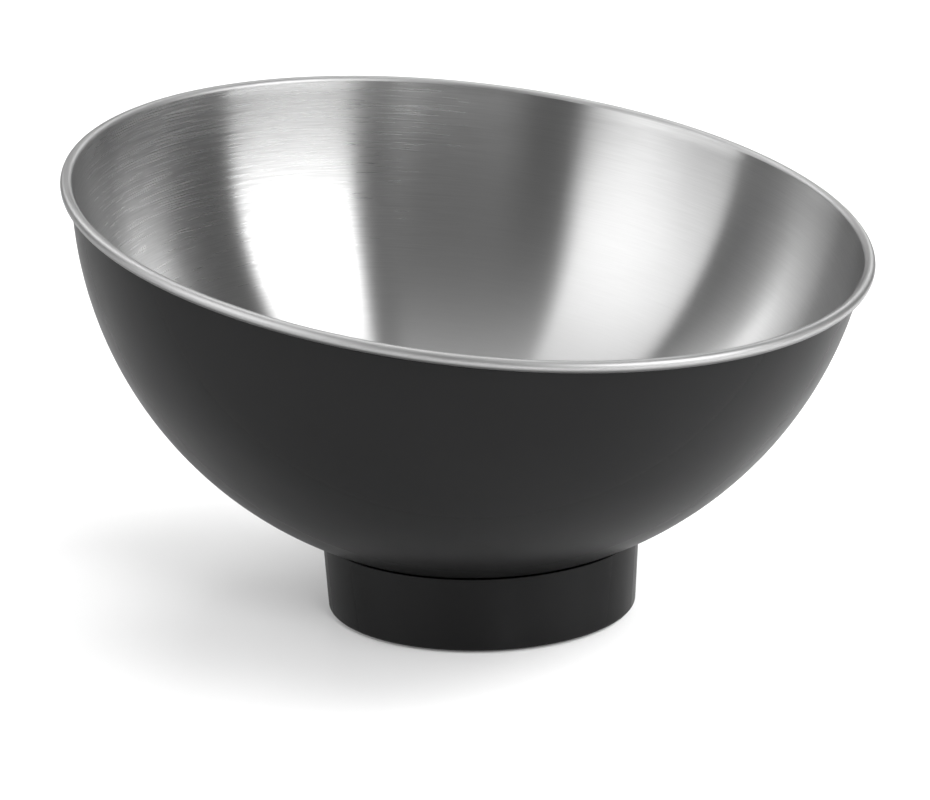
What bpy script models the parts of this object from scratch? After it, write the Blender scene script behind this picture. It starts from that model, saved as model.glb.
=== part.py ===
"""Salon tint bowl: a brushed steel liner with a rolled rim, set in a matt black outer shell
that leans on an upright round foot. Metres, +Z up, floor at Z = 0, foot centred on the Z axis.
The mouth slopes down towards -Y."""

import math

import bmesh
import bpy
from mathutils import Matrix

MM = 0.001

# Driving dimensions
SHELL_RADIUS = 73.3 * MM          # outer face of the spherical outer shell
SHELL_CENTRE_HEIGHT = 82.0 * MM   # centre of that sphere above the floor
MOUTH_TILT = math.radians(9.5)    # slope of the mouth, down towards -Y
MOUTH_DROP = 6.45 * MM            # rim plane below the sphere's centre, along the mouth axis
SHELL_WALL = 0.45 * MM
SHELL_EDGE_WALL = 0.2 * MM        # the shell thins towards its top edge
SHELL_TAPER_LENGTH = 20.0 * MM
EDGE_BELOW_RIM = 1.65 * MM        # top edge of the shell below the rim plane

LINER_WALL = 0.4 * MM
LINER_RAISE = 1.6 * MM            # liner sphere's centre above the shell sphere's centre
LINER_MOUTH_RADIUS = 72.02 * MM   # inner radius where the flare to the rim begins
FLARE_DEPTH = 1.95 * MM           # start of the flare below the rim plane

CURL_RING_RADIUS = 73.9 * MM      # centre line of the rolled rim
CURL_RADIUS = 1.08 * MM
CURL_START = 160.0                # degrees on the roll where the flare runs into it
CURL_END = -125.0                 # the rest of the roll is open under the rim

FOOT_TOP_RADIUS = 29.7 * MM
FOOT_BOTTOM_RADIUS = 28.9 * MM
FOOT_RECESS_RADIUS = 25.0 * MM
FOOT_LIFT = 0.5 * MM              # foot's lower edge above the floor
FOOT_WEB = 2.2 * MM
FOOT_BOSS_UNDERSIDE = 6.5 * MM
FOOT_BORE_RADIUS = 2.3 * MM
FOOT_EDGE_BLEND = 0.7 * MM
FOOT_TOP_CHAMFER = 0.2 * MM
FIT = 0.3 * MM                    # running gap between neighbouring solids

SEAL_RING_RADIUS = 27.2 * MM
SEAL_TUBE_RADIUS = 0.75 * MM

PLATE_RADIUS = 12.0 * MM
PLATE_INNER_SPHERE = 71.85 * MM
PLATE_THICKNESS = 0.6 * MM

STUD_RADIUS = 2.0 * MM
STUD_FLANGE_RADIUS = 2.75 * MM
STUD_FLANGE = 0.6 * MM
STUD_CHAMFER = 0.4 * MM
STUD_END = 1.45 * MM              # height of the stud's tip above the floor
SHELL_HOLE_RADIUS = 3.2 * MM
SHELL_HOLE_REACH = 5.0 * MM       # height of the cut, from the foot's boss upwards

WASHER_OUTER = 4.5 * MM
WASHER_THICKNESS = 0.8 * MM
LOCK_WASHER_OUTER = 3.6 * MM
LOCK_WASHER_THICKNESS = 0.9 * MM
LOCK_WASHER_SPLIT = 14.0          # degrees
NUT_ACROSS_FLATS = 7.0 * MM
NUT_HEIGHT = 2.2 * MM
NUT_CHAMFER = 0.35 * MM
NUT_SIDES = 6
NUT_POINTS_PER_SIDE = 4

BASE_RADIUS = FOOT_RECESS_RADIUS - FIT
BASE_DISC = 1.6 * MM
BASE_COLLAR_HEIGHT = 6.5 * MM
BASE_COLLAR_WALL = 3.0 * MM
BASE_CENTRE_DISH_RADIUS = 6.0 * MM
BASE_CENTRE_DISH = 0.5 * MM
GRIP_GROOVE_RADII = (10.0 * MM, 15.0 * MM, 20.0 * MM)
GRIP_GROOVE_WIDTH = 1.2 * MM
GRIP_GROOVE_DEPTH = 0.5 * MM
BASE_CHAMFER = 0.3 * MM

BOWL_SEGMENTS = 64
FOOT_SEGMENTS = 56
SMALL_SEGMENTS = 24
LINER_INNER_STEPS = 15
LINER_OUTER_STEPS = 13
FLARE_STEPS = 4
ROLL_OUTER_STEPS = 9
ROLL_INNER_STEPS = 6
SHELL_OUTER_STEPS = 16
SHELL_INNER_STEPS = 12
SHELL_TAPER_STEPS = 5
PLATE_STEPS = 5
FOOT_SEAT_STEPS = 8
FOOT_WEB_STEPS = 6
FOOT_BLEND_STEPS = 4
SEAL_TUBE_SIDES = 8
FULL_TURN = 360.0
STRAIGHT_DOWN = -90.0             # degrees, towards the pole of a sphere
ON_AXIS = 1e-6 * MM               # radii under this count as being on the axis


def clear_scene():
    for obj in list(bpy.data.objects):
        bpy.data.objects.remove(obj, do_unlink=True)


def make_material(name, colour, roughness, metallic):
    material = bpy.data.materials.new(name)
    material.use_nodes = True
    shader = material.node_tree.nodes["Principled BSDF"]
    shader.inputs["Base Color"].default_value = (*colour, 1.0)
    shader.inputs["Roughness"].default_value = roughness
    shader.inputs["Metallic"].default_value = metallic
    material.diffuse_color = (*colour, 1.0)
    return material


def arc(centre, radius, start, end, steps):
    """Points (r, z) on a circle, from one angle to another in degrees, both ends included."""
    points = []
    for step in range(steps + 1):
        angle = math.radians(start + (end - start) * step / steps)
        points.append((centre[0] + radius * math.cos(angle), centre[1] + radius * math.sin(angle)))
    return points


def sphere_height(radius, distance, centre=0.0):
    """Height of a sphere's lower half at a distance from its vertical axis."""
    return centre - math.sqrt(radius**2 - distance**2)


def spiral(radius, end_radius, start, end, steps):
    """Points on an arc about the origin whose radius changes evenly on the way."""
    points = []
    for step in range(steps + 1):
        reach = radius + (end_radius - radius) * step / steps
        points += arc((0.0, 0.0), reach, start + (end - start) * step / steps, 0.0, 1)[:1]
    return points


def flare(start, start_angle, end, end_angle, steps):
    """Points on a smooth curve that leaves start and reaches end at these directions, without the ends."""
    span = math.dist(start, end)
    leave = (span * math.cos(start_angle), span * math.sin(start_angle))
    reach = (span * math.cos(end_angle), span * math.sin(end_angle))
    points = []
    for step in range(1, steps):
        t = step / steps
        weights = (2 * t**3 - 3 * t**2 + 1, t**3 - 2 * t**2 + t, 3 * t**2 - 2 * t**3, t**3 - t**2)
        points.append(
            tuple(sum(w * v[axis] for w, v in zip(weights, (start, leave, end, reach))) for axis in (0, 1))
        )
    return points


def link(name, mesh, material, smooth_angle=30.0):
    obj = bpy.data.objects.new(name, mesh)
    bpy.context.scene.collection.objects.link(obj)
    mesh.materials.append(material)
    mesh.shade_smooth()
    mesh.set_sharp_from_angle(angle=math.radians(smooth_angle))
    return obj


def ring_of(work, r, z, segments, sweep):
    if r < ON_AXIS:
        return [work.verts.new((0.0, 0.0, z))] * segments
    spans = segments if sweep >= FULL_TURN else segments - 1
    verts = []
    for index in range(segments):
        angle = math.radians(sweep) * index / spans
        verts.append(work.verts.new((r * math.cos(angle), r * math.sin(angle), z)))
    return verts


def turned(name, outline, material, segments, sweep=FULL_TURN):
    """A closed solid turned about its own Z axis from a closed outline of (r, z) points."""
    work = bmesh.new()
    rings = [ring_of(work, r, z, segments, sweep) for r, z in outline]
    spans = segments if sweep >= FULL_TURN else segments - 1
    for index, ring in enumerate(rings):
        following = rings[(index + 1) % len(rings)]
        for span in range(spans):
            beside = (span + 1) % segments
            corners = (ring[span], ring[beside], following[beside], following[span])
            corners = list(dict.fromkeys(corners))
            if len(corners) > 2:
                work.faces.new(corners)
    if sweep < FULL_TURN:
        work.faces.new([ring[0] for ring in rings])
        work.faces.new([ring[-1] for ring in rings])
    bmesh.ops.recalc_face_normals(work, faces=work.faces)
    mesh = bpy.data.meshes.new(name)
    work.to_mesh(mesh)
    work.free()
    return link(name, mesh, material)


def lean(obj):
    """Places a piece turned on the mouth axis: its origin goes to the sphere's centre, tilted."""
    obj.location = (0.0, 0.0, SHELL_CENTRE_HEIGHT)
    obj.rotation_euler = (MOUTH_TILT, 0.0, 0.0)


def bore(obj, radius, bottom, top):
    """Cuts an upright round hole on the foot's axis."""
    cutter_mesh = bpy.data.meshes.new(obj.name + "_cutter")
    work = bmesh.new()
    place = Matrix.Translation((0.0, 0.0, (bottom + top) / 2))
    bmesh.ops.create_cone(
        work, cap_ends=True, segments=SMALL_SEGMENTS, radius1=radius, radius2=radius,
        depth=top - bottom, matrix=place,
    )
    work.to_mesh(cutter_mesh)
    work.free()
    cutter = bpy.data.objects.new(obj.name + "_cutter", cutter_mesh)
    bpy.context.scene.collection.objects.link(cutter)
    cutter.hide_render = True
    cutter.display_type = "WIRE"
    hole = obj.modifiers.new("bore", "BOOLEAN")
    hole.operation = "DIFFERENCE"
    hole.object = cutter


def liner_outline():
    """Inside of the bowl, the flare, the rolled rim and the back of the sheet."""
    flare_height = -MOUTH_DROP - FLARE_DEPTH
    inner_radius = math.hypot(LINER_MOUTH_RADIUS, LINER_RAISE - flare_height)
    sphere_end = math.degrees(math.asin((flare_height - LINER_RAISE) / inner_radius))
    centre = (0.0, LINER_RAISE)
    curl = (CURL_RING_RADIUS, -MOUTH_DROP)
    upward = math.radians(sphere_end + 90.0)
    onto_roll = math.radians(CURL_START - 90.0)

    inside = [(0.0, LINER_RAISE - inner_radius)]
    inside += arc(centre, inner_radius, STRAIGHT_DOWN, sphere_end, LINER_INNER_STEPS)[1:]
    roll = arc(curl, CURL_RADIUS, CURL_START, CURL_END, ROLL_OUTER_STEPS)
    roll_back = arc(curl, CURL_RADIUS - LINER_WALL, CURL_END, CURL_START, ROLL_INNER_STEPS)
    outside = arc(centre, inner_radius + LINER_WALL, sphere_end, STRAIGHT_DOWN, LINER_OUTER_STEPS)[:-1]
    pole = [(0.0, LINER_RAISE - inner_radius - LINER_WALL)]
    front = flare(inside[-1], upward, roll[0], onto_roll, FLARE_STEPS)
    back = flare(outside[0], upward, roll_back[-1], onto_roll, FLARE_STEPS)[::-1]
    return inside + front + roll + roll_back + back + outside + pole


def steel_liner(material):
    lean(turned("steel_liner", liner_outline(), material, BOWL_SEGMENTS))


def outer_shell(material):
    edge_height = -MOUTH_DROP - EDGE_BELOW_RIM
    edge_angle = math.degrees(math.asin(edge_height / SHELL_RADIUS))
    taper_angle = edge_angle - math.degrees(SHELL_TAPER_LENGTH / SHELL_RADIUS)
    centre = (0.0, 0.0)
    inner_edge = SHELL_RADIUS - SHELL_EDGE_WALL
    inner = SHELL_RADIUS - SHELL_WALL
    outline = [(0.0, -SHELL_RADIUS)]
    outline += arc(centre, SHELL_RADIUS, STRAIGHT_DOWN, edge_angle, SHELL_OUTER_STEPS)[1:]
    outline += spiral(inner_edge, inner, edge_angle, taper_angle, SHELL_TAPER_STEPS)
    outline += arc(centre, inner, taper_angle, STRAIGHT_DOWN, SHELL_INNER_STEPS)[1:-1]
    outline += [(0.0, -inner)]
    shell = turned("outer_shell", outline, material, BOWL_SEGMENTS)
    lean(shell)
    bore(shell, SHELL_HOLE_RADIUS, FOOT_BOSS_UNDERSIDE, FOOT_BOSS_UNDERSIDE + SHELL_HOLE_REACH)


def weld_plate(material):
    """Dished disc spot-welded under the liner to spread the stud's pull."""
    centre = (0.0, SHELL_CENTRE_HEIGHT)
    rim = math.degrees(math.acos(PLATE_RADIUS / PLATE_INNER_SPHERE))
    outer_sphere = PLATE_INNER_SPHERE + PLATE_THICKNESS
    outline = arc(centre, PLATE_INNER_SPHERE, STRAIGHT_DOWN, -rim, PLATE_STEPS)
    outline += arc(centre, outer_sphere, -rim, STRAIGHT_DOWN, PLATE_STEPS)
    turned("weld_plate", outline, material, SMALL_SEGMENTS)


def weld_stud(material):
    plate_underside = SHELL_CENTRE_HEIGHT - PLATE_INNER_SPHERE - PLATE_THICKNESS
    top = plate_underside - FIT
    outline = [
        (0.0, top),
        (STUD_FLANGE_RADIUS, top),
        (STUD_FLANGE_RADIUS, top - STUD_FLANGE),
        (STUD_RADIUS, top - STUD_FLANGE),
        (STUD_RADIUS, STUD_END + STUD_CHAMFER),
        (STUD_RADIUS - STUD_CHAMFER, STUD_END),
        (0.0, STUD_END),
    ]
    turned("weld_stud", outline, material, SMALL_SEGMENTS)


def seal_height():
    """Centre of the seal ring, so that it lies just under the shell."""
    return sphere_height(SHELL_RADIUS + FIT + SEAL_TUBE_RADIUS, SEAL_RING_RADIUS, SHELL_CENTRE_HEIGHT)


def foot_outline():
    seat = SHELL_RADIUS + FIT
    centre = (0.0, SHELL_CENTRE_HEIGHT)
    groove_half = SEAL_TUBE_RADIUS + FIT
    groove_floor = seal_height() - groove_half
    groove_in = SEAL_RING_RADIUS - groove_half
    groove_out = SEAL_RING_RADIUS + groove_half

    def seat_arc(near, far, steps):
        start = -math.degrees(math.acos(near / seat))
        end = -math.degrees(math.acos(far / seat))
        return arc(centre, seat, start, end, steps)

    underside = seat + FOOT_WEB
    boss_radius = math.sqrt(underside**2 - (SHELL_CENTRE_HEIGHT - FOOT_BOSS_UNDERSIDE) ** 2)
    recess_start = -math.degrees(math.acos(FOOT_RECESS_RADIUS / underside))
    boss_end = -math.degrees(math.acos(boss_radius / underside))

    outline = seat_arc(FOOT_BORE_RADIUS, groove_in, FOOT_SEAT_STEPS)
    outline += [(groove_in, groove_floor), (groove_out, groove_floor)]
    outline += seat_arc(groove_out, FOOT_TOP_RADIUS - FOOT_TOP_CHAMFER, 1)
    top = sphere_height(seat, FOOT_TOP_RADIUS, SHELL_CENTRE_HEIGHT)
    outline += [(FOOT_TOP_RADIUS, top - FOOT_TOP_CHAMFER)]
    blend_centre = (FOOT_BOTTOM_RADIUS - FOOT_EDGE_BLEND, FOOT_LIFT + FOOT_EDGE_BLEND)
    outline += arc(blend_centre, FOOT_EDGE_BLEND, 0.0, STRAIGHT_DOWN, FOOT_BLEND_STEPS)
    outline += [(FOOT_RECESS_RADIUS, FOOT_LIFT)]
    outline += arc(centre, underside, recess_start, boss_end, FOOT_WEB_STEPS)
    outline += [(FOOT_BORE_RADIUS, FOOT_BOSS_UNDERSIDE)]
    return outline


def foot_body(material):
    turned("foot_body", foot_outline(), material, FOOT_SEGMENTS)


def foot_seal_ring(material):
    centre = (SEAL_RING_RADIUS, seal_height())
    outline = arc(centre, SEAL_TUBE_RADIUS, 0.0, FULL_TURN, SEAL_TUBE_SIDES)[:-1]
    turned("foot_seal_ring", outline, material, FOOT_SEGMENTS)


def flat_ring(inner, outer, top, thickness):
    bottom = top - thickness
    return [(inner, top), (outer, top), (outer, bottom), (inner, bottom)]


def fixings(steel):
    """Plain washer, split lock washer and thin nut, one under the other on the stud."""
    washer_top = FOOT_BOSS_UNDERSIDE - FIT
    lock_top = washer_top - WASHER_THICKNESS - FIT
    nut_top = lock_top - LOCK_WASHER_THICKNESS - FIT
    hole = STUD_RADIUS + FIT
    plain_outline = flat_ring(hole, WASHER_OUTER, washer_top, WASHER_THICKNESS)
    turned("plain_washer", plain_outline, steel, SMALL_SEGMENTS)
    lock_outline = flat_ring(hole, LOCK_WASHER_OUTER, lock_top, LOCK_WASHER_THICKNESS)
    turned("lock_washer", lock_outline, steel, SMALL_SEGMENTS, FULL_TURN - LOCK_WASHER_SPLIT)
    thin_nut(steel, nut_top, hole)


def thin_nut(material, top, hole):
    """Hexagon nut: a six-sided block with corners chamfered by a cone, and a round hole."""
    work = bmesh.new()
    flat_radius = NUT_ACROSS_FLATS / 2
    corner = NUT_ACROSS_FLATS / math.sqrt(3)
    count = NUT_SIDES * NUT_POINTS_PER_SIDE
    side_angle = 2 * math.pi / NUT_SIDES
    angles = [2 * math.pi * index / count for index in range(count)]
    bottom = top - NUT_HEIGHT

    def hexagon(z, limit):
        """A ring that follows the flats but stays within a circle of radius limit."""
        ring = []
        for angle in angles:
            within = angle % side_angle - side_angle / 2
            reach = min(flat_radius / math.cos(within), limit)
            ring.append(work.verts.new((reach * math.cos(angle), reach * math.sin(angle), z)))
        return ring

    def circle(z):
        return [work.verts.new((hole * math.cos(angle), hole * math.sin(angle), z)) for angle in angles]

    levels = [
        hexagon(top, flat_radius),
        hexagon(top - NUT_CHAMFER, corner),
        hexagon(bottom + NUT_CHAMFER, corner),
        hexagon(bottom, flat_radius),
        circle(bottom),
        circle(top),
    ]
    for index, ring in enumerate(levels):
        following = levels[(index + 1) % len(levels)]
        for span in range(count):
            beside = (span + 1) % count
            work.faces.new((ring[span], ring[beside], following[beside], following[span]))
    bmesh.ops.recalc_face_normals(work, faces=work.faces)
    mesh = bpy.data.meshes.new("thin_nut")
    work.to_mesh(mesh)
    work.free()
    link("thin_nut", mesh, material)


def rubber_base(material):
    """Non-slip plug: a disc with grip grooves below and a collar that holds in the foot."""
    outline = [
        (0.0, BASE_DISC - BASE_CENTRE_DISH),
        (BASE_CENTRE_DISH_RADIUS, BASE_DISC - BASE_CENTRE_DISH),
        (BASE_CENTRE_DISH_RADIUS, BASE_DISC),
        (BASE_RADIUS - BASE_COLLAR_WALL, BASE_DISC),
        (BASE_RADIUS - BASE_COLLAR_WALL, BASE_COLLAR_HEIGHT),
        (BASE_RADIUS, BASE_COLLAR_HEIGHT),
        (BASE_RADIUS, BASE_CHAMFER),
        (BASE_RADIUS - BASE_CHAMFER, 0.0),
    ]
    half = GRIP_GROOVE_WIDTH / 2
    for radius in reversed(GRIP_GROOVE_RADII):
        outline += [(radius + half, 0.0), (radius + half, GRIP_GROOVE_DEPTH)]
        outline += [(radius - half, GRIP_GROOVE_DEPTH), (radius - half, 0.0)]
    outline += [(0.0, 0.0)]
    turned("rubber_base", outline, material, FOOT_SEGMENTS)


def main():
    clear_scene()
    brushed = make_material("brushed stainless steel", (0.60, 0.60, 0.60), 0.28, 1.0)
    black = make_material("matt black coating", (0.035, 0.035, 0.036), 0.42, 0.0)
    rubber = make_material("black rubber", (0.022, 0.022, 0.023), 0.75, 0.0)
    fixing_steel = make_material("plain steel", (0.52, 0.52, 0.52), 0.35, 1.0)
    steel_liner(brushed)
    outer_shell(black)
    weld_plate(fixing_steel)
    weld_stud(fixing_steel)
    foot_body(black)
    foot_seal_ring(rubber)
    fixings(fixing_steel)
    rubber_base(rubber)


main()
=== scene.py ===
"""Finished look of a salon tint bowl: brushed steel liner, rolled rim, satin black shell and foot."""
import math

import bpy
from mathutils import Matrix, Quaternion, Vector

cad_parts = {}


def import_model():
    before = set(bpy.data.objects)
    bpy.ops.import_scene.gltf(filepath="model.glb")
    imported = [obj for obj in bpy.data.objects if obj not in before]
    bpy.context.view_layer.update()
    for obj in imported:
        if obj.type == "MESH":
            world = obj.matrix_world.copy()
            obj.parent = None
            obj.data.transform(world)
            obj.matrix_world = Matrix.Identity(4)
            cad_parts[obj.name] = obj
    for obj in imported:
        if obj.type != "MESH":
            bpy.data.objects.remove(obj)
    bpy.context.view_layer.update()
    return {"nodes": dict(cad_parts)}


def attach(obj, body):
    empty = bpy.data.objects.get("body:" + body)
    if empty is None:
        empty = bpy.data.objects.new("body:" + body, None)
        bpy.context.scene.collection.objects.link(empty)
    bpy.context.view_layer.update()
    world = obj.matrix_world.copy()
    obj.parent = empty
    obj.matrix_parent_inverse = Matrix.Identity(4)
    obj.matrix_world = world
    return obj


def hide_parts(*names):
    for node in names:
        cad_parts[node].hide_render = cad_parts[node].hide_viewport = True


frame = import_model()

MM = 0.001

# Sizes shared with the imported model
SHELL_RADIUS = 73.3 * MM
SHELL_CENTRE_HEIGHT = 82.0 * MM
MOUTH_TILT = math.radians(9.5)
MOUTH_DROP = 6.45 * MM
SHELL_WALL = 0.45 * MM
SHELL_EDGE_WALL = 0.2 * MM
SHELL_TAPER_LENGTH = 20.0 * MM
EDGE_BELOW_RIM = 1.65 * MM
LINER_WALL = 0.4 * MM
LINER_RAISE = 1.6 * MM
LINER_MOUTH_RADIUS = 72.02 * MM
FLARE_DEPTH = 1.95 * MM
CURL_RING_RADIUS = 73.9 * MM
CURL_RADIUS = 1.08 * MM
CURL_START = 160.0
CURL_END = -125.0
FOOT_TOP_RADIUS = 29.7 * MM
FOOT_BOTTOM_RADIUS = 28.9 * MM
FOOT_RECESS_RADIUS = 25.0 * MM
FOOT_LIFT = 0.5 * MM
FOOT_WEB = 2.2 * MM
FOOT_BOSS_UNDERSIDE = 6.5 * MM
FOOT_BORE_RADIUS = 2.3 * MM
FOOT_EDGE_BLEND = 0.7 * MM
SEAL_RING_RADIUS = 27.2 * MM
SEAL_TUBE_RADIUS = 0.75 * MM
FIT = 0.3 * MM

# Camera
CAMERA_AZIMUTH = math.radians(-50.3)
CAMERA_REACH = 713.6 * MM
CAMERA_HEIGHT = 249.2 * MM
AIM_SIDE = -2.4 * MM
AIM_HEIGHT = 39.8 * MM
CAMERA_ROLL = -0.0218
CAMERA_LENS = 154.84

# Brushing of the liner: length round the bowl and width up the wall of one line
FINE_LINE = (9.0 * MM, 0.22 * MM)
BROAD_LINE = (26.0 * MM, 0.55 * MM)
BROAD_SHARE = 0.25
ROLL_LINE = (14.0 * MM, 0.14 * MM)
WORN_AZIMUTH = 222.0
CALM_BRUSHING = 0.22
DEEP_BRUSHING = 0.35
BRUSH_WANDER = 0.06
STEEL_SHADES = (0.43, 0.63)
STEEL_ROUGHNESS = (0.34, 0.24)
# Rolled rim greys: painted shade on the roll's underside, then the roll's own steel tone
ROLL_PAINTED_SHADE_AND_STEEL = (0.08, 0.44)

# Black finish
BLACK = (0.014, 0.014, 0.0142)
BLACK_ROUGHNESS = 0.37
BLACK_METAL_SHARE = 0.42
BLACK_EDGE_TINT = (0.22, 0.22, 0.22, 1.0)

# Mesh and floor
SHARP_ANGLE = math.radians(30.0)
MERGE_DISTANCE = 0.001 * MM
BOWL_SEGMENTS = 288
FOOT_SEGMENTS = 192
NO_ROWS = (-2, -2)
FLOOR_REACH = 6.0
FLOOR_DROP = 0.02 * MM
SOFT_BOX_REACH = 2.0
FLOOR_BOX_REACH = 1.6


# Outlines: lists of (r, z) points

def arc(centre, radius, start, end, steps):
    points = []
    for step in range(steps + 1):
        angle = math.radians(start + (end - start) * step / steps)
        points.append((centre[0] + radius * math.cos(angle), centre[1] + radius * math.sin(angle)))
    return points


def spiral(radius, end_radius, start, end, steps):
    """Points on an arc about the origin whose radius changes evenly on the way."""
    points = []
    for step in range(steps + 1):
        reach = radius + (end_radius - radius) * step / steps
        points += arc((0.0, 0.0), reach, start + (end - start) * step / steps, 0.0, 1)[:1]
    return points


def flare(start, start_angle, end, end_angle, steps):
    """Points on a smooth curve between start and end with these directions there, without the ends."""
    span = math.dist(start, end)
    leave = (span * math.cos(start_angle), span * math.sin(start_angle))
    reach = (span * math.cos(end_angle), span * math.sin(end_angle))
    points = []
    for step in range(1, steps):
        t = step / steps
        weights = (2 * t**3 - 3 * t**2 + 1, t**3 - 2 * t**2 + t, 3 * t**2 - 2 * t**3, t**3 - t**2)
        points.append(
            tuple(
                sum(w * v[axis] for w, v in zip(weights, (start, leave, end, reach))) for axis in (0, 1)
            )
        )
    return points


def liner_outline():
    """Returns the outline and the first and last row of the polished roll."""
    flare_height = -MOUTH_DROP - FLARE_DEPTH
    inner_radius = math.hypot(LINER_MOUTH_RADIUS, LINER_RAISE - flare_height)
    sphere_end = math.degrees(math.asin((flare_height - LINER_RAISE) / inner_radius))
    centre = (0.0, LINER_RAISE)
    curl = (CURL_RING_RADIUS, -MOUTH_DROP)
    upward = math.radians(sphere_end + 90.0)
    onto_roll = math.radians(CURL_START - 90.0)

    inside = [(0.0, LINER_RAISE - inner_radius)]
    inside += arc(centre, inner_radius, -90.0, sphere_end, 96)[1:]
    roll = arc(curl, CURL_RADIUS, CURL_START, CURL_END, 36)
    roll_back = arc(curl, CURL_RADIUS - LINER_WALL, CURL_END, CURL_START, 20)
    outside = arc(centre, inner_radius + LINER_WALL, sphere_end, -90.0, 48)[:-1]
    pole = [(0.0, LINER_RAISE - inner_radius - LINER_WALL)]
    front = flare(inside[-1], upward, roll[0], onto_roll, 12)
    back = flare(outside[0], upward, roll_back[-1], onto_roll, 8)[::-1]
    roll_first = len(inside + front)
    roll_last = roll_first + len(roll + roll_back)
    return inside + front + roll + roll_back + back + outside + pole, roll_first, roll_last


def shell_outline():
    edge_height = -MOUTH_DROP - EDGE_BELOW_RIM
    edge_angle = math.degrees(math.asin(edge_height / SHELL_RADIUS))
    taper_angle = edge_angle - math.degrees(SHELL_TAPER_LENGTH / SHELL_RADIUS)
    centre = (0.0, 0.0)
    inner_edge = SHELL_RADIUS - SHELL_EDGE_WALL
    inner = SHELL_RADIUS - SHELL_WALL
    outline = [(0.0, -SHELL_RADIUS)]
    outline += arc(centre, SHELL_RADIUS, -90.0, edge_angle, 96)[1:]
    outline += spiral(inner_edge, inner, edge_angle, taper_angle, 16)
    outline += arc(centre, inner, taper_angle, -90.0, 32)[1:-1]
    outline += [(0.0, -inner)]
    return outline


def sphere_height(radius, distance, centre=0.0):
    return centre - math.sqrt(radius**2 - distance**2)


def foot_outline():
    seat = SHELL_RADIUS + FIT
    centre = (0.0, SHELL_CENTRE_HEIGHT)
    seal_height = sphere_height(seat + SEAL_TUBE_RADIUS, SEAL_RING_RADIUS, SHELL_CENTRE_HEIGHT)
    groove_half = SEAL_TUBE_RADIUS + FIT
    groove_floor = seal_height - groove_half
    groove_in = SEAL_RING_RADIUS - groove_half
    groove_out = SEAL_RING_RADIUS + groove_half

    def seat_arc(near, far, steps):
        start = -math.degrees(math.acos(near / seat))
        end = -math.degrees(math.acos(far / seat))
        return arc(centre, seat, start, end, steps)

    underside = seat + FOOT_WEB
    boss_radius = math.sqrt(underside**2 - (SHELL_CENTRE_HEIGHT - FOOT_BOSS_UNDERSIDE) ** 2)
    recess_start = -math.degrees(math.acos(FOOT_RECESS_RADIUS / underside))
    boss_end = -math.degrees(math.acos(boss_radius / underside))
    edge = 0.2 * MM
    top = sphere_height(seat, FOOT_TOP_RADIUS, SHELL_CENTRE_HEIGHT)

    outline = seat_arc(FOOT_BORE_RADIUS, groove_in, 24)
    outline += [(groove_in, groove_floor), (groove_out, groove_floor)]
    outline += seat_arc(groove_out, FOOT_TOP_RADIUS - edge, 3)
    outline += arc((FOOT_TOP_RADIUS - edge, top - edge), edge, 60.0, 0.0, 5)
    blend_centre = (FOOT_BOTTOM_RADIUS - FOOT_EDGE_BLEND, FOOT_LIFT + FOOT_EDGE_BLEND)
    outline += arc(blend_centre, FOOT_EDGE_BLEND, 0.0, -90.0, 10)
    outline += [(FOOT_RECESS_RADIUS, FOOT_LIFT)]
    outline += arc(centre, underside, recess_start, boss_end, 20)
    outline += [(FOOT_BORE_RADIUS, FOOT_BOSS_UNDERSIDE)]
    return outline


# Geometry Nodes

def add_node(tree, kind, **settings):
    node = tree.nodes.new(kind)
    for name, value in settings.items():
        setattr(node, name, value)
    return node


def math_node(tree, operation, first, second=None):
    node = add_node(tree, "ShaderNodeMath", operation=operation)
    for socket, value in zip(node.inputs, (first, second)):
        feed(tree, socket, value)
    return node.outputs[0]


def feed(tree, socket, value):
    """Links an output to a socket, or sets the socket's own value."""
    if value is None:
        return
    if isinstance(value, bpy.types.NodeSocket):
        tree.links.new(value, socket)
    else:
        socket.default_value = value


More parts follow.
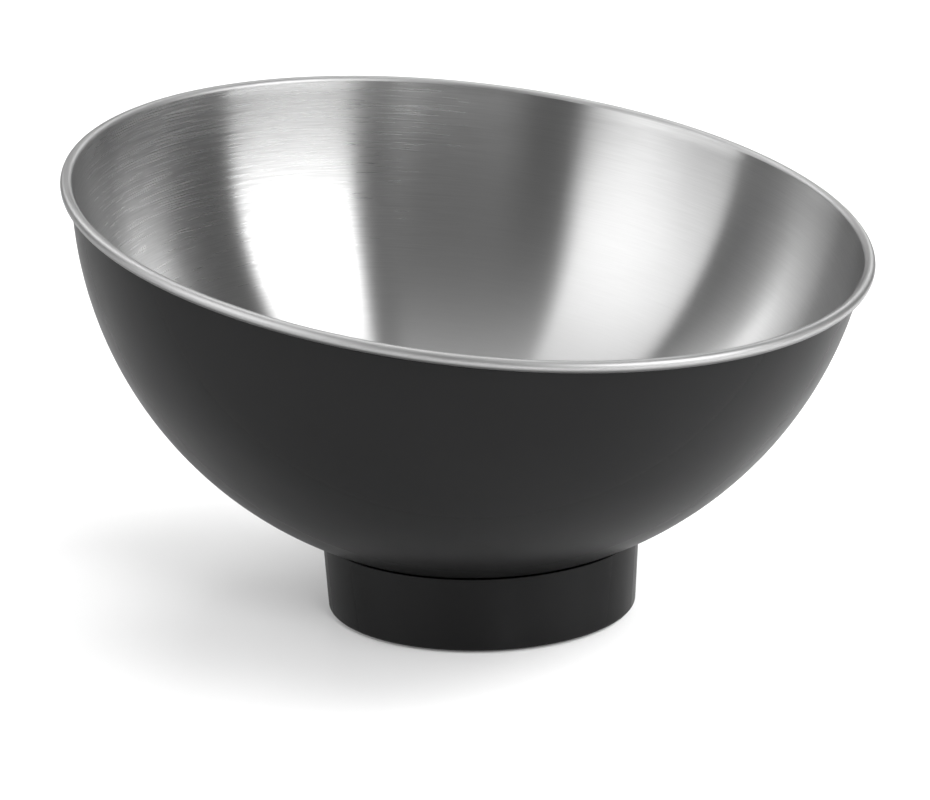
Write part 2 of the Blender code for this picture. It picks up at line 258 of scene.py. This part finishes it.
def turned_tree():
    """Turns an outline about Z, tilts it about X and lifts it. A run of rows takes the rim finish."""
    tree = bpy.data.node_groups.new("Turned piece", "GeometryNodeTree")
    tree.interface.new_socket("Geometry", in_out="OUTPUT", socket_type="NodeSocketGeometry")
    for name, kind in (
        ("Outline", "NodeSocketObject"),
        ("Segments", "NodeSocketInt"),
        ("Tilt", "NodeSocketFloat"),
        ("Lift", "NodeSocketFloat"),
        ("Finish", "NodeSocketMaterial"),
        ("Rim Finish", "NodeSocketMaterial"),
        ("Rim First Row", "NodeSocketInt"),
        ("Rim Last Row", "NodeSocketInt"),
    ):
        tree.interface.new_socket(name, in_out="INPUT", socket_type=kind)
    entry = add_node(tree, "NodeGroupInput").outputs
    outline = add_node(tree, "GeometryNodeObjectInfo")
    feed(tree, outline.inputs["Object"], entry["Outline"])
    size = add_node(tree, "GeometryNodeAttributeDomainSize", component="MESH")
    feed(tree, size.inputs["Geometry"], outline.outputs["Geometry"])
    around = math_node(tree, "ADD", entry["Segments"], 1.0)
    grid = add_node(tree, "GeometryNodeMeshGrid")
    rows = math_node(tree, "ADD", size.outputs["Point Count"], 1.0)
    feed(tree, grid.inputs["Vertices X"], rows)
    feed(tree, grid.inputs["Vertices Y"], around)

    index = add_node(tree, "GeometryNodeInputIndex").outputs[0]
    index_middle = math_node(tree, "ADD", index, 0.5)
    row = math_node(tree, "FLOOR", math_node(tree, "DIVIDE", index_middle, around))
    column = math_node(tree, "SUBTRACT", index, math_node(tree, "MULTIPLY", row, around))
    source = math_node(tree, "FLOORED_MODULO", row, size.outputs["Point Count"])
    turn = math_node(tree, "DIVIDE", math_node(tree, "MULTIPLY", column, math.tau), entry["Segments"])
    position = add_node(tree, "GeometryNodeInputPosition").outputs[0]
    sample = add_node(tree, "GeometryNodeSampleIndex", data_type="FLOAT_VECTOR", domain="POINT")
    feed(tree, sample.inputs["Geometry"], outline.outputs["Geometry"])
    feed(tree, sample.inputs["Value"], position)
    feed(tree, sample.inputs["Index"], source)
    split = add_node(tree, "ShaderNodeSeparateXYZ")
    feed(tree, split.inputs[0], sample.outputs[0])
    place = add_node(tree, "ShaderNodeCombineXYZ")
    for axis, wave in enumerate(("COSINE", "SINE")):
        share = math_node(tree, wave, turn)
        feed(tree, place.inputs[axis], math_node(tree, "MULTIPLY", split.outputs[0], share))
    feed(tree, place.inputs[2], split.outputs[2])
    shaped = add_node(tree, "GeometryNodeSetPosition")
    feed(tree, shaped.inputs["Geometry"], grid.outputs["Mesh"])
    feed(tree, shaped.inputs["Position"], place.outputs[0])

    turned_row = add_node(tree, "GeometryNodeStoreNamedAttribute", data_type="FLOAT", domain="FACE")
    feed(tree, turned_row.inputs["Geometry"], shaped.outputs[0])
    turned_row.inputs["Name"].default_value = "row"
    face_row = math_node(tree, "FLOOR", math_node(tree, "DIVIDE", index, entry["Segments"]))
    feed(tree, turned_row.inputs["Value"], face_row)

    merged = add_node(tree, "GeometryNodeMergeByDistance")
    feed(tree, merged.inputs["Geometry"], turned_row.outputs[0])
    merged.inputs["Distance"].default_value = MERGE_DISTANCE
    tilt = add_node(tree, "ShaderNodeCombineXYZ")
    feed(tree, tilt.inputs[0], entry["Tilt"])
    lift = add_node(tree, "ShaderNodeCombineXYZ")
    feed(tree, lift.inputs[2], entry["Lift"])
    moved = add_node(tree, "GeometryNodeTransform")
    feed(tree, moved.inputs["Geometry"], merged.outputs[0])
    feed(tree, moved.inputs["Rotation"], tilt.outputs[0])
    feed(tree, moved.inputs["Translation"], lift.outputs[0])

    real = add_node(tree, "GeometryNodeRealizeInstances")
    feed(tree, real.inputs[0], moved.outputs[0])
    finish = add_node(tree, "GeometryNodeSetMaterial")
    feed(tree, finish.inputs["Geometry"], real.outputs[0])
    feed(tree, finish.inputs["Material"], entry["Finish"])
    read_row = add_node(tree, "GeometryNodeInputNamedAttribute", data_type="FLOAT")
    read_row.inputs["Name"].default_value = "row"
    rim_start = math_node(tree, "SUBTRACT", entry["Rim First Row"], 0.5)
    rim_end = math_node(tree, "ADD", entry["Rim Last Row"], 0.5)
    after = math_node(tree, "GREATER_THAN", read_row.outputs[0], rim_start)
    before = math_node(tree, "LESS_THAN", read_row.outputs[0], rim_end)
    rim = add_node(tree, "GeometryNodeSetMaterial")
    feed(tree, rim.inputs["Geometry"], finish.outputs[0])
    feed(tree, rim.inputs["Material"], entry["Rim Finish"])
    feed(tree, rim.inputs["Selection"], math_node(tree, "MULTIPLY", after, before))
    leave = add_node(tree, "NodeGroupOutput")
    feed(tree, leave.inputs[0], rim.outputs[0])
    return tree


def outline_object(name, outline):
    mesh = bpy.data.meshes.new(name)
    edges = [(i, i + 1) for i in range(len(outline) - 1)]
    mesh.from_pydata([(r, 0.0, z) for r, z in outline], edges, [])
    obj = bpy.data.objects.new(name, mesh)
    bpy.context.scene.collection.objects.link(obj)
    return obj


def built(name, tree, **inputs):
    """Runs a Geometry Nodes tree with these inputs and returns its result as a plain mesh object."""
    obj = bpy.data.objects.new(name, bpy.data.meshes.new(name + "_start"))
    bpy.context.scene.collection.objects.link(obj)
    modifier = obj.modifiers.new("shape", "NODES")
    modifier.node_group = tree
    for item in tree.interface.items_tree:
        if item.in_out == "INPUT" and item.name in inputs:
            modifier[item.identifier] = inputs[item.name]
    bpy.context.view_layer.update()
    graph = bpy.context.evaluated_depsgraph_get()
    mesh = bpy.data.meshes.new_from_object(obj.evaluated_get(graph), depsgraph=graph)
    obj.modifiers.remove(modifier)
    obj.data = mesh
    mesh.name = name
    return obj


def turned(name, outline, finish, segments, tilt=0.0, lift=0.0, rim_finish=None, rim_rows=NO_ROWS):
    """A piece turned from its outline; rim_rows is the run of rows with the rim finish."""
    guide = outline_object(name + "_outline", outline)
    rim = {
        "Rim Finish": rim_finish or finish,
        "Rim First Row": rim_rows[0],
        "Rim Last Row": rim_rows[1],
    }
    obj = built(
        name, TURNED, Outline=guide, Segments=segments, Tilt=tilt, Lift=lift, Finish=finish, **rim,
    )
    bpy.data.objects.remove(guide, do_unlink=True)
    obj.data.shade_smooth()
    obj.data.set_sharp_from_angle(angle=SHARP_ANGLE)
    return obj


# Finishes

def new_finish(name, colour, roughness, metallic=0.0):
    material = bpy.data.materials.new(name)
    material.use_nodes = True
    shader = material.node_tree.nodes["Principled BSDF"]
    shader.inputs["Base Color"].default_value = (*colour, 1.0)
    shader.inputs["Roughness"].default_value = roughness
    shader.inputs["Metallic"].default_value = metallic
    return material, material.node_tree, shader


def vector_node(tree, operation, first, second=None):
    node = add_node(tree, "ShaderNodeVectorMath", operation=operation)
    feed(tree, node.inputs[0], first)
    feed(tree, node.inputs[1], second)
    return node.outputs["Value"] if operation in ("LENGTH", "DOT_PRODUCT") else node.outputs[0]


def scaled(tree, vector, factor):
    node = add_node(tree, "ShaderNodeVectorMath", operation="SCALE")
    feed(tree, node.inputs[0], vector)
    feed(tree, node.inputs["Scale"], factor)
    return node.outputs[0]


def noise(tree, vector, scale, detail=2.0, roughness=0.5):
    node = add_node(tree, "ShaderNodeTexNoise")
    feed(tree, node.inputs["Vector"], vector)
    feed(tree, node.inputs["Scale"], scale)
    feed(tree, node.inputs["Detail"], detail)
    feed(tree, node.inputs["Roughness"], roughness)
    return node.outputs["Fac"]


def remap(tree, value, low, high, new_low, new_high):
    node = add_node(tree, "ShaderNodeMapRange")
    feed(tree, node.inputs["Value"], value)
    names = ("From Min", "From Max", "To Min", "To Max")
    for name, number in zip(names, (low, high, new_low, new_high)):
        feed(tree, node.inputs[name], number)
    return node.outputs[0]


def bump(tree, height, distance, strength, shader, normal=None):
    node = add_node(tree, "ShaderNodeBump")
    feed(tree, node.inputs["Height"], height)
    feed(tree, node.inputs["Distance"], distance)
    feed(tree, node.inputs["Strength"], strength)
    feed(tree, node.inputs["Normal"], normal)
    feed(tree, shader.inputs["Normal"], node.outputs[0])


def grey(tree, value, low, high):
    """A neutral colour between two brightnesses."""
    node = add_node(tree, "ShaderNodeMix", data_type="RGBA")
    feed(tree, node.inputs["Factor"], value)
    node.inputs["A"].default_value = (low, low, low, 1.0)
    node.inputs["B"].default_value = (high, high, high, 1.0)
    return node.outputs["Result"]


def mouth_axis():
    return (0.0, -math.sin(MOUTH_TILT), math.cos(MOUTH_TILT))


def brushed_coordinates(tree, length, width):
    """Coordinates with one unit to a brush line's length round the bowl and its width up the wall."""
    place = add_node(tree, "ShaderNodeTexCoord").outputs["Object"]
    from_centre = vector_node(tree, "SUBTRACT", place, (0.0, 0.0, SHELL_CENTRE_HEIGHT))
    along = vector_node(tree, "DOT_PRODUCT", from_centre, mouth_axis())
    outward = vector_node(tree, "SUBTRACT", from_centre, scaled_axis(tree, along))
    direction = vector_node(tree, "NORMALIZE", outward)
    reach = vector_node(tree, "LENGTH", outward)
    downward = math_node(tree, "MULTIPLY", along, -1.0)
    climb = math_node(tree, "MULTIPLY", math_node(tree, "ARCTAN2", reach, downward), SHELL_RADIUS)
    around = scaled(tree, direction, SHELL_RADIUS / length)
    up = scaled_axis(tree, math_node(tree, "DIVIDE", climb, width))
    return vector_node(tree, "ADD", around, up), from_centre


def mouth_axis_socket(tree):
    axis = add_node(tree, "ShaderNodeCombineXYZ")
    for socket, value in zip(axis.inputs, mouth_axis()):
        socket.default_value = value
    return axis.outputs[0]


def scaled_axis(tree, amount):
    return scaled(tree, mouth_axis_socket(tree), amount)


def mixed(tree, share, first, second):
    """first and second blended, with this share of the second."""
    kept = math_node(tree, "MULTIPLY", first, 1.0 - share)
    return math_node(tree, "ADD", kept, math_node(tree, "MULTIPLY", second, share))


def brush_lines(tree):
    """Brush lines round the bowl, 0 to 1, crisper near the rim and on the worn side."""
    fine, from_centre = brushed_coordinates(tree, *FINE_LINE)
    broad, _ = brushed_coordinates(tree, *BROAD_LINE)
    fine_lines = remap(tree, noise(tree, fine, 1.0, 1.0, 0.5), 0.3, 0.7, 0.0, 1.0)
    broad_lines = remap(tree, noise(tree, broad, 1.0, 2.0, 0.5), 0.35, 0.65, 0.0, 1.0)
    lines = mixed(tree, BROAD_SHARE, fine_lines, broad_lines)
    depth = vector_node(tree, "DOT_PRODUCT", from_centre, mouth_axis())
    near_rim = remap(tree, depth, -50.0 * MM, -12.0 * MM, DEEP_BRUSHING, 1.0)
    side = vector_node(tree, "DOT_PRODUCT", from_centre, tuple(towards(WORN_AZIMUTH, 0.0)))
    worn_side = remap(tree, side, 0.7 * SHELL_RADIUS, 0.95 * SHELL_RADIUS, CALM_BRUSHING, 1.0)
    strength = math_node(tree, "MULTIPLY", near_rim, worn_side)
    about_zero = math_node(tree, "SUBTRACT", lines, 0.5)
    crisp = math_node(tree, "MULTIPLY", about_zero, strength)
    return math_node(tree, "ADD", crisp, 0.5), from_centre


def brushed_steel():
    material, tree, shader = new_finish("brushed stainless steel", (0.54, 0.54, 0.54), 0.36, 1.0)
    shader.inputs["Anisotropic"].default_value = 1.0
    lines, from_centre = brush_lines(tree)
    feed(tree, shader.inputs["Base Color"], grey(tree, lines, *STEEL_SHADES))
    feed(tree, shader.inputs["Roughness"], remap(tree, lines, 0.0, 1.0, *STEEL_ROUGHNESS))
    around = vector_node(tree, "CROSS_PRODUCT", mouth_axis_socket(tree), from_centre)
    across = vector_node(tree, "NORMALIZE", around)
    uphill = vector_node(tree, "NORMALIZE", vector_node(tree, "CROSS_PRODUCT", from_centre, across))
    wander = remap(tree, lines, 0.0, 1.0, -BRUSH_WANDER, BRUSH_WANDER)
    tangent = vector_node(tree, "ADD", uphill, scaled(tree, across, wander))
    feed(tree, shader.inputs["Tangent"], tangent)
    bump(tree, lines, 0.006 * MM, 0.1, shader, eased_normal(tree, from_centre))
    return material


def eased_normal(tree, from_centre):
    """The surface's direction, eased towards the round wall's where it flares under the rim."""
    own = add_node(tree, "ShaderNodeNewGeometry").outputs["Normal"]
    inward = scaled(tree, vector_node(tree, "NORMALIZE", from_centre), -1.0)
    side = math_node(tree, "SIGN", vector_node(tree, "DOT_PRODUCT", inward, own))
    height = vector_node(tree, "DOT_PRODUCT", from_centre, mouth_axis())
    flare_top = -MOUTH_DROP - 0.2 * FLARE_DEPTH
    ease = remap(tree, height, -MOUTH_DROP - FLARE_DEPTH, flare_top, 0.96, 0.75)
    wall_part = scaled(tree, scaled(tree, inward, side), ease)
    own_part = scaled(tree, own, math_node(tree, "SUBTRACT", 1.0, ease))
    return vector_node(tree, "NORMALIZE", vector_node(tree, "ADD", wall_part, own_part))


def polished_roll():
    """Satin steel of the rolled rim; its underside is darkened with painted shade where it turns down
    towards the black shell.
    """
    material, tree, shader = new_finish("polished steel roll", (0.5, 0.5, 0.5), 0.3, 1.0)
    lines, from_centre = brushed_coordinates(tree, *ROLL_LINE)
    marks = noise(tree, lines, 1.0, 3.0, 0.6)
    feed(tree, shader.inputs["Roughness"], remap(tree, marks, 0.3, 0.7, 0.42, 0.52))
    height = vector_node(tree, "DOT_PRODUCT", from_centre, mouth_axis())
    # Painted shade: below the roll's middle its colour falls from the steel grey to a near-black grey.
    underside_shade_bottom = -MOUTH_DROP - 0.45 * CURL_RADIUS
    underside_shade_top = -MOUTH_DROP + 0.3 * CURL_RADIUS
    painted_underside_shade = remap(tree, height, underside_shade_bottom, underside_shade_top, 0.0, 1.0)
    feed(tree, shader.inputs["Base Color"], grey(tree, painted_underside_shade, *ROLL_PAINTED_SHADE_AND_STEEL))
    bump(tree, marks, 0.003 * MM, 0.4, shader)
    return material


def satin_black(name, specular):
    material, tree, shader = new_finish(name, BLACK, BLACK_ROUGHNESS, BLACK_METAL_SHARE)
    shader.inputs["Specular IOR Level"].default_value = specular
    shader.inputs["Specular Tint"].default_value = BLACK_EDGE_TINT
    place = add_node(tree, "ShaderNodeTexCoord").outputs["Object"]
    grain = noise(tree, place, 1 / (0.35 * MM), 3.0, 0.55)
    cloud = noise(tree, place, 1 / (14 * MM), 3.0, 0.5)
    feed(tree, shader.inputs["Roughness"], remap(tree, cloud, 0.3, 0.7, 0.35, 0.39))
    bump(tree, grain, 0.01 * MM, 0.25, shader)
    return material


def rubber():
    material, tree, shader = new_finish("black rubber", (0.018, 0.018, 0.018), 0.75)
    place = add_node(tree, "ShaderNodeTexCoord").outputs["Object"]
    grain = noise(tree, place, 1 / (0.5 * MM), 4.0, 0.6)
    feed(tree, shader.inputs["Roughness"], remap(tree, grain, 0.3, 0.7, 0.68, 0.82))
    bump(tree, grain, 0.03 * MM, 0.4, shader)
    return material


def plain_steel():
    material, tree, shader = new_finish("plain fixing steel", (0.52, 0.52, 0.52), 0.34, 1.0)
    place = add_node(tree, "ShaderNodeTexCoord").outputs["Object"]
    grain = noise(tree, place, 1 / (0.6 * MM), 4.0, 0.6)
    feed(tree, shader.inputs["Roughness"], remap(tree, grain, 0.3, 0.7, 0.28, 0.42))
    bump(tree, grain, 0.01 * MM, 0.3, shader)
    return material


def floor_finish():
    material, tree, shader = new_finish("white floor", (0.95, 0.95, 0.95), 0.22)
    shader.inputs["Emission Color"].default_value = (1.0, 1.0, 1.0, 1.0)
    shader.inputs["Emission Strength"].default_value = 0.1
    return material


# Pieces

def settle(piece, node):
    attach(piece, "root")
    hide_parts(node)


def bowl_liner():
    outline, first, last = liner_outline()
    rim_rows = (first, last)
    piece = turned(
        "bowl_liner", outline, BRUSHED, BOWL_SEGMENTS, MOUTH_TILT, SHELL_CENTRE_HEIGHT, ROLLED, rim_rows,
    )
    settle(piece, "steel_liner")


def shell():
    piece = turned("shell", shell_outline(), BLACK_SHELL, BOWL_SEGMENTS, MOUTH_TILT, SHELL_CENTRE_HEIGHT)
    settle(piece, "outer_shell")


def foot():
    piece = turned("foot", foot_outline(), BLACK_FOOT, FOOT_SEGMENTS)
    settle(piece, "foot_body")


def finish_cad_nodes():
    for node, finish in (
        ("weld_plate", FIXING),
        ("weld_stud", FIXING),
        ("plain_washer", FIXING),
        ("lock_washer", FIXING),
        ("thin_nut", FIXING),
        ("foot_seal_ring", RUBBER),
        ("rubber_base", RUBBER),
    ):
        mesh = frame["nodes"][node].data
        mesh.materials.clear()
        mesh.materials.append(finish)


# Studio

def camera():
    data = bpy.data.cameras.new("camera")
    data.lens = CAMERA_LENS
    data.clip_start = 0.01
    data.clip_end = 50.0
    obj = bpy.data.objects.new("camera", data)
    bpy.context.scene.collection.objects.link(obj)
    behind = Vector((math.sin(CAMERA_AZIMUTH), -math.cos(CAMERA_AZIMUTH), 0.0))
    right = Vector((math.cos(CAMERA_AZIMUTH), math.sin(CAMERA_AZIMUTH), 0.0))
    obj.location = behind * CAMERA_REACH + Vector((0.0, 0.0, CAMERA_HEIGHT))
    aim = right * AIM_SIDE + Vector((0.0, 0.0, AIM_HEIGHT))
    look = (aim - obj.location).to_track_quat("-Z", "Y")
    obj.rotation_mode = "QUATERNION"
    obj.rotation_quaternion = look @ Quaternion((0.0, 0.0, 1.0), CAMERA_ROLL)
    bpy.context.scene.camera = obj


def floor():
    mesh = bpy.data.meshes.new("floor")
    reach = FLOOR_REACH
    corners = [(-reach, -reach), (reach, -reach), (reach, reach), (-reach, reach)]
    mesh.from_pydata([(x, y, -FLOOR_DROP) for x, y in corners], [], [(0, 1, 2, 3)])
    mesh.materials.append(floor_finish())
    obj = bpy.data.objects.new("floor", mesh)
    bpy.context.scene.collection.objects.link(obj)
    return obj


def lamp(name, width, height, place, facing, glow, lean=0.0):
    """A soft light at this place with its back to this direction; glow is its face's brightness."""
    data = bpy.data.lights.new(name, "AREA")
    data.shape = "RECTANGLE"
    data.size = width
    data.size_y = height
    data.energy = glow * width * height * math.pi
    obj = bpy.data.objects.new(name, data)
    bpy.context.scene.collection.objects.link(obj)
    obj.location = place
    obj.rotation_mode = "QUATERNION"
    turned_in = Quaternion((0.0, 0.0, 1.0), -math.radians(lean))
    obj.rotation_quaternion = (-facing).to_track_quat("-Z", "Y") @ turned_in
    return obj


def towards(azimuth, elevation):
    """Unit direction from the bowl; azimuth starts at the camera's side."""
    turn = CAMERA_AZIMUTH + math.radians(azimuth)
    climb = math.radians(elevation)
    level = math.cos(climb)
    return Vector((math.sin(turn) * level, -math.cos(turn) * level, math.sin(climb)))


def upright_box(name, azimuths, heights, reach, glow, lean=0.0):
    """A soft box that stands upright and fills this span of azimuth."""
    out = towards(sum(azimuths) / 2, 0.0)
    width = 2 * reach * math.tan(math.radians(azimuths[1] - azimuths[0]) / 2)
    place = out * reach + Vector((0.0, 0.0, sum(heights) / 2))
    return lamp(name, width, heights[1] - heights[0], place, out, glow, lean)


def tilted_box(name, azimuth, elevation, reach, size, glow):
    """A square soft box that faces the bowl from this direction."""
    out = towards(azimuth, elevation)
    return lamp(name, size, size, out * reach, out, glow)


def only_on_floor(light):
    """Keeps this light off the bowl, so that it only whitens the floor round the bowl's shadow."""
    receivers = bpy.data.collections.new(light.name + " receivers")
    receivers.objects.link(FLOOR)
    light.light_linking.receiver_collection = receivers


def world(strength):
    data = bpy.data.worlds.new("studio")
    bpy.context.scene.world = data
    data.use_nodes = True
    data.node_tree.nodes["Background"].inputs["Color"].default_value = (1.0, 1.0, 1.0, 1.0)
    data.node_tree.nodes["Background"].inputs["Strength"].default_value = strength


TURNED = turned_tree()
BRUSHED = brushed_steel()
ROLLED = polished_roll()
BLACK_SHELL = satin_black("satin black shell", 0.18)
BLACK_FOOT = satin_black("satin black foot", 0.25)
RUBBER = rubber()
FIXING = plain_steel()

camera()
bowl_liner()
shell()
foot()
finish_cad_nodes()
FLOOR = floor()
world(0.14)
upright_box("key box", (44.5, 85.5), (0.48, 2.5), SOFT_BOX_REACH, 5.2, 12.0)
upright_box("left box", (-89.0, -35.0), (0.2, 3.0), SOFT_BOX_REACH, 2.4, -8.0)
upright_box("right strip", (214.0, 236.0), (1.1, 3.2), SOFT_BOX_REACH, 4.2)
upright_box("left strip", (143.0, 165.0), (0.5, 2.0), SOFT_BOX_REACH, 2.2)
tilted_box("back box", 180.0, 62.0, SOFT_BOX_REACH, 1.1, 2.2)
tilted_box("top box", 0.0, 89.9, 1.8, 1.3, 0.8)
only_on_floor(tilted_box("side floor box", 103.0, 46.0, FLOOR_BOX_REACH, 0.65, 9.0))
only_on_floor(tilted_box("low floor box", 20.0, 30.0, FLOOR_BOX_REACH, 0.4, 24.0))
only_on_floor(tilted_box("near floor box", 88.0, 45.0, 0.5, 0.2, 8.0))
only_on_floor(tilted_box("top floor box", 0.0, 75.0, FLOOR_BOX_REACH, 0.5, 4.0))
bpy.context.scene.view_settings.view_transform = "Standard"
